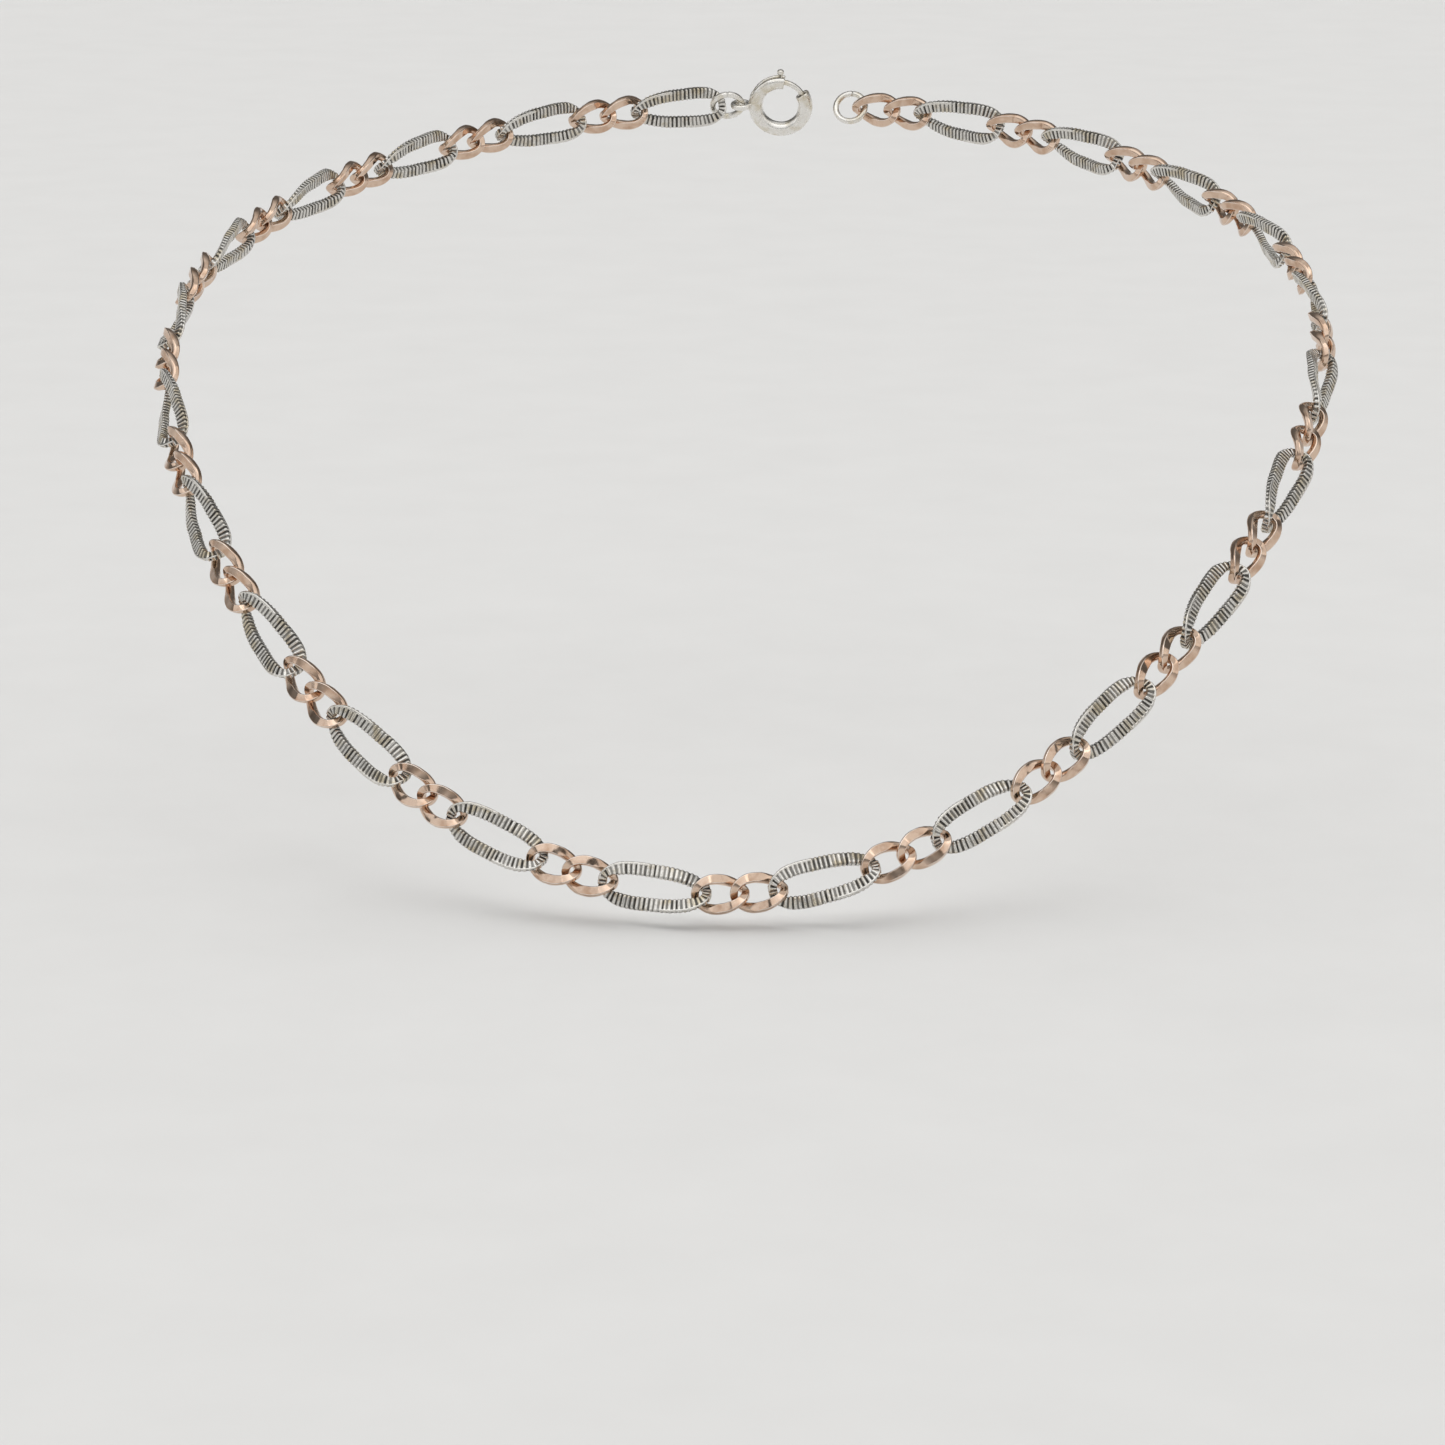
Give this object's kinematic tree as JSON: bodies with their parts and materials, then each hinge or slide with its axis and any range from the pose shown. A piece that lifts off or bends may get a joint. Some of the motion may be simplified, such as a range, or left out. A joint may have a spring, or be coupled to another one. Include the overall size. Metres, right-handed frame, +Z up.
{
  "type": "chain necklace",
  "caption": "Two-tone curb chain necklace of long ribbed silver links and short polished rose-gold link pairs, with an undone bolt-ring clasp.",
  "frame": {"origin": "the middle of the nape of the neck, on the chain centre line, where the necklace hangs from the back of the neck", "axes": "+Z up, +X to the right and +Y away from someone looking at the front of the worn necklace"},
  "size_m": [0.1414, 0.1364, 0.078],
  "materials": {
    "silver": "polished ridges with blackened grooves",
    "rose_gold": "polished rose gold plating",
    "steel": "drawn spring wire"
  },
  "bodies": {
    "bolt_ring": {"bolt_ring": "silver", "bolt_spring": "steel"},
    "bolt": {"bolt": "silver"},
    "jump_ring": {"jump_ring": "silver"},
    "nape_left_1": {"nape_left_1": "silver"},
    "nape_left_2": {"nape_left_2": "silver"},
    "nape_left_3": {"nape_left_3": "silver"},
    "nape_left_4": {"nape_left_4": "silver"},
    "silver_01": {"silver_01": "silver"},
    "rose_01_a": {"rose_01_a": "rose_gold"},
    "rose_01_b": {"rose_01_b": "rose_gold"},
    "silver_02": {"silver_02": "silver"},
    "rose_02_a": {"rose_02_a": "rose_gold"},
    "rose_02_b": {"rose_02_b": "rose_gold"},
    "silver_03": {"silver_03": "silver"},
    "rose_03_a": {"rose_03_a": "rose_gold"},
    "rose_03_b": {"rose_03_b": "rose_gold"},
    "silver_04": {"silver_04": "silver"},
    "rose_04_a": {"rose_04_a": "rose_gold"},
    "rose_04_b": {"rose_04_b": "rose_gold"},
    "silver_05": {"silver_05": "silver"},
    "rose_05_a": {"rose_05_a": "rose_gold"},
    "rose_05_b": {"rose_05_b": "rose_gold"},
    "silver_06": {"silver_06": "silver"},
    "rose_06_a": {"rose_06_a": "rose_gold"},
    "rose_06_b": {"rose_06_b": "rose_gold"},
    "silver_07": {"silver_07": "silver"},
    "rose_07_a": {"rose_07_a": "rose_gold"},
    "rose_07_b": {"rose_07_b": "rose_gold"},
    "silver_08": {"silver_08": "silver"},
    "rose_08_a": {"rose_08_a": "rose_gold"},
    "rose_08_b": {"rose_08_b": "rose_gold"},
    "silver_09": {"silver_09": "silver"},
    "rose_09_a": {"rose_09_a": "rose_gold"},
    "rose_09_b": {"rose_09_b": "rose_gold"},
    "silver_10": {"silver_10": "silver"},
    "rose_10_a": {"rose_10_a": "rose_gold"},
    "rose_10_b": {"rose_10_b": "rose_gold"},
    "silver_11": {"silver_11": "silver"},
    "rose_11_a": {"rose_11_a": "rose_gold"},
    "rose_11_b": {"rose_11_b": "rose_gold"},
    "silver_12": {"silver_12": "silver"},
    "rose_12_a": {"rose_12_a": "rose_gold"},
    "rose_12_b": {"rose_12_b": "rose_gold"},
    "silver_13": {"silver_13": "silver"},
    "rose_13_a": {"rose_13_a": "rose_gold"},
    "rose_13_b": {"rose_13_b": "rose_gold"},
    "silver_14": {"silver_14": "silver"},
    "rose_14_a": {"rose_14_a": "rose_gold"},
    "rose_14_b": {"rose_14_b": "rose_gold"},
    "silver_15": {"silver_15": "silver"},
    "rose_15_a": {"rose_15_a": "rose_gold"},
    "rose_15_b": {"rose_15_b": "rose_gold"},
    "silver_16": {"silver_16": "silver"},
    "nape_right_1": {"nape_right_1": "silver"},
    "nape_right_2": {"nape_right_2": "silver"},
    "nape_right_3": {"nape_right_3": "silver"},
    "nape_right_4": {"nape_right_4": "silver"},
    "end_ring": {"end_ring": "silver"}
  },
  "joints": [
    {"name": "bolt_slide", "type": "hinge", "parent": "bolt_ring", "child": "bolt", "pos_m": [0.00038, -0.00026, -0.00007], "axis": [0.0064, 0.9659, 0.2588], "range_deg": [-58, 0], "stiffness_Nm_per_rad": 0.00006, "springref_deg": 17.19, "deforming": ["bolt_spring"]},
    {"name": "jump_ring_swing", "type": "hinge", "parent": "bolt_ring", "child": "jump_ring", "pos_m": [-0.00587, -0.00029, -0.00008], "axis": [0.0064, 0.9659, 0.2588], "range_deg": [-32, 34]},
    {"name": "nape_left_1_swing", "type": "hinge", "parent": "jump_ring", "child": "nape_left_1", "pos_m": [-0.00734, -0.00038, -0.0001], "axis": [-0.1432, 0.4336, 0.8897], "range_deg": [-35, 35]},
    {"name": "nape_left_2_swing", "type": "hinge", "parent": "nape_left_1", "child": "nape_left_2", "pos_m": [-0.02671, -0.00601, -0.00156], "axis": [-0.2884, 0.7966, -0.5312], "range_deg": [-35, 35]},
    {"name": "nape_left_3_swing", "type": "hinge", "parent": "nape_left_2", "child": "nape_left_3", "pos_m": [-0.0416, -0.01524, -0.00384], "axis": [0.4086, -0.2199, -0.8858], "range_deg": [-35, 35]},
    {"name": "nape_left_4_swing", "type": "hinge", "parent": "nape_left_3", "child": "nape_left_4", "pos_m": [-0.05521, -0.02983, -0.00727], "axis": [0.6379, -0.5925, 0.4921], "range_deg": [-35, 35]},
    {"name": "silver_01_swing", "type": "hinge", "parent": "nape_left_4", "child": "silver_01", "pos_m": [-0.06374, -0.04488, -0.01089], "axis": [-0.4486, -0.0979, 0.8883], "range_deg": [-35, 35]},
    {"name": "rose_01_a_swing", "type": "hinge", "parent": "silver_01", "child": "rose_01_a", "pos_m": [-0.0672, -0.05565, -0.01388], "axis": [-0.79, 0.3893, -0.4737], "range_deg": [-35, 35]},
    {"name": "rose_01_b_swing", "type": "hinge", "parent": "rose_01_a", "child": "rose_01_b", "pos_m": [-0.06785, -0.05846, -0.01473], "axis": [0.4212, 0.2289, -0.8776], "range_deg": [-35, 35]},
    {"name": "silver_02_swing", "type": "hinge", "parent": "rose_01_b", "child": "silver_02", "pos_m": [-0.06858, -0.06371, -0.01652], "axis": [0.8466, -0.2805, 0.4522], "range_deg": [-35, 35]},
    {"name": "rose_02_a_swing", "type": "hinge", "parent": "silver_02", "child": "rose_02_a", "pos_m": [-0.06901, -0.0722, -0.01978], "axis": [-0.3432, -0.4093, 0.8454], "range_deg": [-35, 35]},
    {"name": "rose_02_b_swing", "type": "hinge", "parent": "rose_02_a", "child": "rose_02_b", "pos_m": [-0.06861, -0.07727, -0.02212], "axis": [-0.896, 0.1294, -0.4248], "range_deg": [-35, 35]},
    {"name": "silver_03_swing", "type": "hinge", "parent": "rose_02_b", "child": "silver_03", "pos_m": [-0.0683, -0.07996, -0.02342], "axis": [0.2459, 0.532, -0.8102], "range_deg": [-35, 35]},
    {"name": "rose_03_a_swing", "type": "hinge", "parent": "silver_03", "child": "rose_03_a", "pos_m": [-0.06571, -0.08981, -0.02916], "axis": [0.9139, -0.0006, 0.406], "range_deg": [-35, 35]},
    {"name": "rose_03_b_swing", "type": "hinge", "parent": "rose_03_a", "child": "rose_03_b", "pos_m": [-0.06483, -0.09222, -0.03073], "axis": [-0.1286, -0.6133, 0.7793], "range_deg": [-35, 35]},
    {"name": "silver_04_swing", "type": "hinge", "parent": "rose_03_b", "child": "silver_04", "pos_m": [-0.06284, -0.09646, -0.03379], "axis": [-0.9106, -0.135, -0.3907], "range_deg": [-35, 35]},
    {"name": "rose_04_a_swing", "type": "hinge", "parent": "silver_04", "child": "rose_04_a", "pos_m": [-0.05909, -0.10298, -0.03892], "axis": [-0.0217, 0.648, -0.7613], "range_deg": [-35, 35]},
    {"name": "rose_04_b_swing", "type": "hinge", "parent": "rose_04_a", "child": "rose_04_b", "pos_m": [-0.05637, -0.10666, -0.04215], "axis": [0.8734, 0.3096, 0.3758], "range_deg": [-35, 35]},
    {"name": "silver_05_swing", "type": "hinge", "parent": "rose_04_b", "child": "silver_05", "pos_m": [-0.0541, -0.10934, -0.04463], "axis": [-0.8552, -0.3608, -0.3722], "range_deg": [-35, 35]},
    {"name": "rose_05_a_swing", "type": "hinge", "parent": "silver_05", "child": "rose_05_a", "pos_m": [-0.04806, -0.11537, -0.05057], "axis": [0.8155, 0.4478, 0.3667], "range_deg": [-35, 35]},
    {"name": "rose_05_b_swing", "type": "hinge", "parent": "rose_05_a", "child": "rose_05_b", "pos_m": [-0.04531, -0.11764, -0.05296], "axis": [-0.7649, -0.5332, -0.3614], "range_deg": [-35, 35]},
    {"name": "silver_06_swing", "type": "hinge", "parent": "rose_05_b", "child": "silver_06", "pos_m": [-0.04239, -0.11978, -0.05528], "axis": [0.7299, 0.582, 0.3584], "range_deg": [-35, 35]},
    {"name": "rose_06_a_swing", "type": "hinge", "parent": "silver_06", "child": "rose_06_a", "pos_m": [-0.03476, -0.12446, -0.06057], "axis": [-0.6598, -0.6632, -0.3535], "range_deg": [-35, 35]},
    {"name": "rose_06_b_swing", "type": "hinge", "parent": "rose_06_a", "child": "rose_06_b", "pos_m": [-0.03134, -0.12615, -0.06255], "axis": [0.5777, 0.7383, 0.3481], "range_deg": [-35, 35]},
    {"name": "silver_07_swing", "type": "hinge", "parent": "rose_06_b", "child": "silver_07", "pos_m": [-0.02775, -0.12766, -0.06437], "axis": [-0.5233, -0.7792, -0.3449], "range_deg": [-35, 35]},
    {"name": "rose_07_a_swing", "type": "hinge", "parent": "silver_07", "child": "rose_07_a", "pos_m": [-0.01852, -0.13068, -0.06807], "axis": [0.4193, 0.8421, 0.3391], "range_deg": [-35, 35]},
    {"name": "rose_07_b_swing", "type": "hinge", "parent": "rose_07_a", "child": "rose_07_b", "pos_m": [-0.01447, -0.13159, -0.06921], "axis": [-0.3051, -0.8921, -0.3333], "range_deg": [-35, 35]},
    {"name": "silver_08_swing", "type": "hinge", "parent": "rose_07_b", "child": "silver_08", "pos_m": [-0.01031, -0.13225, -0.07005], "axis": [0.2333, 0.9146, 0.3303], "range_deg": [-35, 35]},
    {"name": "rose_08_a_swing", "type": "hinge", "parent": "silver_08", "child": "rose_08_a", "pos_m": [0.00001, -0.13298, -0.07098], "axis": [-0.1044, -0.9394, -0.3266], "range_deg": [-35, 6]},
    {"name": "rose_08_b_swing", "type": "hinge", "parent": "rose_08_a", "child": "rose_08_b", "pos_m": [0.0043, -0.13286, -0.07082], "axis": [-0.0272, 0.9451, 0.3256], "range_deg": [-6, 35]},
    {"name": "silver_09_swing", "type": "hinge", "parent": "rose_08_b", "child": "silver_09", "pos_m": [0.00855, -0.13247, -0.07033], "axis": [0.1041, -0.9394, -0.3266], "range_deg": [-35, 7]},
    {"name": "rose_09_a_swing", "type": "hinge", "parent": "silver_09", "child": "rose_09_a", "pos_m": [0.01854, -0.13068, -0.06807], "axis": [-0.2319, 0.9149, 0.3303], "range_deg": [-35, 35]},
    {"name": "rose_09_b_swing", "type": "hinge", "parent": "rose_09_a", "child": "rose_09_b", "pos_m": [0.02245, -0.12957, -0.06669], "axis": [0.3536, -0.8731, -0.3357], "range_deg": [-35, 35]},
    {"name": "silver_10_swing", "type": "hinge", "parent": "rose_09_b", "child": "silver_10", "pos_m": [0.02622, -0.12826, -0.06509], "axis": [-0.4196, 0.842, 0.3391], "range_deg": [-35, 35]},
    {"name": "rose_10_a_swing", "type": "hinge", "parent": "silver_10", "child": "rose_10_a", "pos_m": [0.03477, -0.12445, -0.06056], "axis": [0.5221, -0.78, -0.3449], "range_deg": [-35, 35]},
    {"name": "rose_10_b_swing", "type": "hinge", "parent": "rose_10_a", "child": "rose_10_b", "pos_m": [0.03804, -0.12262, -0.05845], "axis": [-0.6131, 0.708, 0.3503], "range_deg": [-35, 35]},
    {"name": "silver_11_swing", "type": "hinge", "parent": "rose_10_b", "child": "silver_11", "pos_m": [0.04114, -0.12064, -0.05623], "axis": [0.6599, -0.6631, -0.3534], "range_deg": [-35, 35]},
    {"name": "rose_11_a_swing", "type": "hinge", "parent": "silver_11", "child": "rose_11_a", "pos_m": [0.04807, -0.11536, -0.05056], "axis": [-0.7293, 0.5828, 0.3585], "range_deg": [-35, 35]},
    {"name": "rose_11_b_swing", "type": "hinge", "parent": "rose_11_a", "child": "rose_11_b", "pos_m": [0.05068, -0.11296, -0.04813], "axis": [0.7871, -0.4984, -0.3635], "range_deg": [-35, 35]},
    {"name": "silver_12_swing", "type": "hinge", "parent": "rose_11_b", "child": "silver_12", "pos_m": [0.05312, -0.11042, -0.04566], "axis": [-0.8154, 0.4481, 0.3665], "range_deg": [-35, 35]},
    {"name": "rose_12_a_swing", "type": "hinge", "parent": "silver_12", "child": "rose_12_a", "pos_m": [0.05788, -0.10471, -0.04041], "axis": [0.0082, -0.6467, 0.7627], "range_deg": [-35, 35]},
    {"name": "rose_12_b_swing", "type": "hinge", "parent": "rose_12_a", "child": "rose_12_b", "pos_m": [0.06041, -0.10087, -0.0372], "axis": [-0.8842, 0.2736, 0.3785], "range_deg": [-35, 35]},
    {"name": "silver_13_swing", "type": "hinge", "parent": "rose_12_b", "child": "silver_13", "pos_m": [0.0617, -0.09878, -0.03549], "axis": [-0.1288, 0.613, -0.7795], "range_deg": [-35, 35]},
    {"name": "rose_13_a_swing", "type": "hinge", "parent": "silver_13", "child": "rose_13_a", "pos_m": [0.06571, -0.0898, -0.02915], "axis": [0.9106, -0.135, -0.3907], "range_deg": [-35, 35]},
    {"name": "rose_13_b_swing", "type": "hinge", "parent": "rose_13_a", "child": "rose_13_b", "pos_m": [0.06655, -0.08737, -0.0276], "axis": [0.2452, -0.5327, 0.81], "range_deg": [-35, 35]},
    {"name": "silver_14_swing", "type": "hinge", "parent": "rose_13_b", "child": "silver_14", "pos_m": [0.0677, -0.08261, -0.02489], "axis": [-0.9139, 0.0003, 0.4059], "range_deg": [-35, 35]},
    {"name": "rose_14_a_swing", "type": "hinge", "parent": "silver_14", "child": "rose_14_a", "pos_m": [0.06889, -0.07456, -0.02082], "axis": [-0.3637, 0.373, -0.8536], "range_deg": [-35, 35]},
    {"name": "rose_14_b_swing", "type": "hinge", "parent": "rose_14_a", "child": "rose_14_b", "pos_m": [0.06898, -0.0694, -0.01864], "axis": [0.8881, 0.1616, -0.4302], "range_deg": [-35, 35]},
    {"name": "silver_15_swing", "type": "hinge", "parent": "rose_14_b", "child": "silver_15", "pos_m": [0.06893, -0.06661, -0.01753], "axis": [0.4212, -0.2301, 0.8773], "range_deg": [-35, 35]},
    {"name": "rose_15_a_swing", "type": "hinge", "parent": "silver_15", "child": "rose_15_a", "pos_m": [0.0672, -0.05563, -0.01387], "axis": [-0.8467, -0.2804, 0.4521], "range_deg": [-35, 35]},
    {"name": "rose_15_b_swing", "type": "hinge", "parent": "rose_15_a", "child": "rose_15_b", "pos_m": [0.0665, -0.05284, -0.01304], "axis": [-0.4484, 0.0975, -0.8885], "range_deg": [-35, 35]},
    {"name": "silver_16_swing", "type": "hinge", "parent": "rose_15_b", "child": "silver_16", "pos_m": [0.06476, -0.0477, -0.01164], "axis": [0.7902, 0.3887, -0.4737], "range_deg": [-35, 35]},
    {"name": "nape_right_1_swing", "type": "hinge", "parent": "silver_16", "child": "nape_right_1", "pos_m": [0.06124, -0.03957, -0.00958], "axis": [0.4536, 0.0407, 0.8903], "range_deg": [-35, 35]},
    {"name": "nape_right_2_swing", "type": "hinge", "parent": "nape_right_1", "child": "nape_right_2", "pos_m": [0.04991, -0.02323, -0.00573], "axis": [-0.5871, -0.6129, 0.5289], "range_deg": [-35, 35]},
    {"name": "nape_right_3_swing", "type": "hinge", "parent": "nape_right_2", "child": "nape_right_3", "pos_m": [0.03681, -0.01169, -0.00298], "axis": [-0.3383, -0.3188, -0.8854], "range_deg": [-35, 35]},
    {"name": "nape_right_4_swing", "type": "hinge", "parent": "nape_right_3", "child": "nape_right_4", "pos_m": [0.01872, -0.0029, -0.00076], "axis": [0.241, 0.8017, -0.547], "range_deg": [-35, 35]},
    {"name": "end_ring_swing", "type": "hinge", "parent": "nape_right_4", "child": "end_ring", "pos_m": [0.01162, -0.00108, -0.00029], "axis": [0.1133, 0.4883, 0.8653], "range_deg": [-35, 35]}
  ]
}
